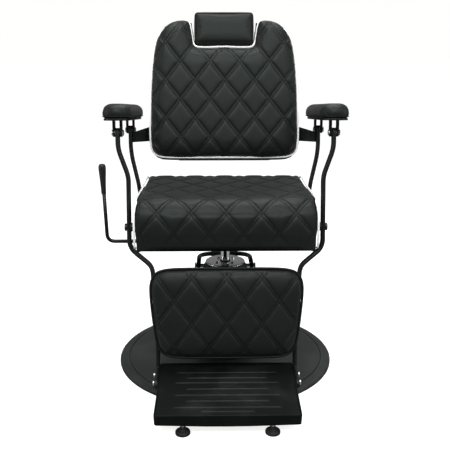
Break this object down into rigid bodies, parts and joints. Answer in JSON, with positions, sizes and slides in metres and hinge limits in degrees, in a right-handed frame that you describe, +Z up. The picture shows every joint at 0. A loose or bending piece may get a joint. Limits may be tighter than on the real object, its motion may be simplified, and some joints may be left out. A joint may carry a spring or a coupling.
{
  "type": "barber chair",
  "caption": "Reclining barber chair with diamond-quilted seat, back and calf pad, sliding headrest, linked armrests, ribbed footrest and a pumped round base.",
  "frame": {"origin": "centre of the base's bottom face, on the floor and on the swivel axis", "axes": "+Z up, -Y towards the front of the chair, +X to the right of a viewer who faces its front"},
  "size_m": [0.7385, 0.8572, 1.1206],
  "materials": {
    "black_leather": "quilted black upholstery leather, soft satin",
    "white_piping": "white piping cord covered in vinyl",
    "black_piping": "black piping cord",
    "black_steel": "black powder coat, satin",
    "grey_steel": "dark grey paint, satin",
    "chrome": "polished",
    "zinc": "bright zinc",
    "rubber": "matt black rubber",
    "grip_plastic": "black moulded grip",
    "tray_plastic": "black moulded tray with fine grain",
    "plywood": "birch plywood"
  },
  "bodies": {
    "base": {"base_ring": "rubber", "base_disc": "grey_steel", "column_cover": "grey_steel", "column_cap": "grey_steel", "oil_cylinder": "grey_steel", "cylinder_seal": "rubber", "cap_bolts": "zinc", "pedal_pin": "zinc"},
    "pedal": {"pump_pedal": "black_steel", "pedal_sleeve": "rubber"},
    "lift": {"piston": "chrome", "piston_head": "zinc", "hub_screw": "zinc"},
    "seat": {"swivel_hub": "black_steel", "seat_rail_left": "black_steel", "seat_rail_right": "black_steel", "cross_rail_front": "black_steel", "cross_rail_rear": "black_steel", "side_plate_left": "black_steel", "side_plate_right": "black_steel", "pivot_bolts": "zinc", "seat_board": "plywood", "seat_cushion": "black_leather", "seat_piping": "white_piping"},
    "release": {"release_rod": "black_steel", "release_grip": "grip_plastic", "lock_arm": "zinc"},
    "legrest": {"lever_left": "black_steel", "lever_right": "black_steel", "calf_bar_upper": "black_steel", "calf_bar_lower": "black_steel", "calf_board": "plywood", "calf_cushion": "black_leather", "calf_piping": "black_piping", "footrest": "tray_plastic", "footrest_bolts": "zinc", "foot_stems": "chrome", "foot_pads": "rubber"},
    "backrest": {"upright_left": "black_steel", "upright_right": "black_steel", "strap_left": "black_steel", "strap_right": "black_steel", "strap_screws": "zinc", "back_board": "plywood", "back_cushion": "black_leather", "back_piping": "white_piping", "back_shell": "black_leather", "headrest_guide": "black_steel"},
    "headrest": {"headrest_bar": "chrome", "headrest_board": "black_steel", "headrest_cushion": "black_leather"},
    "arm_left": {"arm_board_left": "black_steel", "arm_pad_left": "black_leather", "clevis_pins_left": "zinc", "clevis_nuts_left": "zinc"},
    "arm_right": {"arm_board_right": "black_steel", "arm_pad_right": "black_leather", "clevis_pins_right": "zinc", "clevis_nuts_right": "zinc"}
  },
  "joints": [
    {"name": "lift", "type": "slide", "parent": "base", "child": "lift", "axis": [0, 0, 1], "range_m": [0, 0.15]},
    {"name": "swivel", "type": "hinge", "parent": "lift", "child": "seat", "pos_m": [0, 0, 0.4], "axis": [0, 0, 1], "continuous": true},
    {"name": "recline", "type": "hinge", "parent": "seat", "child": "backrest", "pos_m": [0, 0.09281, 0.47423], "axis": [-1, 0, 0], "range_deg": [0, 45]},
    {"name": "legrest_swing", "type": "hinge", "parent": "seat", "child": "legrest", "pos_m": [0, -0.20306, 0.50012], "axis": [-1, 0, 0], "range_deg": [0, 45]},
    {"name": "arm_left_link", "type": "hinge", "parent": "backrest", "child": "arm_left", "pos_m": [-0.31, 0.13987, 0.74111], "axis": [-1, 0, 0], "range_deg": [-45, 0]},
    {"name": "arm_right_link", "type": "hinge", "parent": "backrest", "child": "arm_right", "pos_m": [0.31, 0.13987, 0.74111], "axis": [-1, 0, 0], "range_deg": [-45, 0]},
    {"name": "headrest_lift", "type": "slide", "parent": "backrest", "child": "headrest", "axis": [0, 0.1908, 0.9816], "range_m": [0, 0.09]},
    {"name": "release", "type": "hinge", "parent": "seat", "child": "release", "pos_m": [-0.3, -0.05456, 0.415], "axis": [-1, 0, 0], "range_deg": [0, 18], "stiffness_Nm_per_rad": 4, "springref_deg": -20.05},
    {"name": "pedal_press", "type": "hinge", "parent": "base", "child": "pedal", "pos_m": [0, 0, 0.316], "axis": [-1, 0, 0], "range_deg": [0, 22], "stiffness_Nm_per_rad": 12, "springref_deg": -20.05}
  ],
  "couplings": [
    {"joint": "legrest_swing", "follows": "recline", "ratio": 1},
    {"joint": "arm_left_link", "follows": "recline", "ratio": -1},
    {"joint": "arm_right_link", "follows": "recline", "ratio": -1}
  ]
}
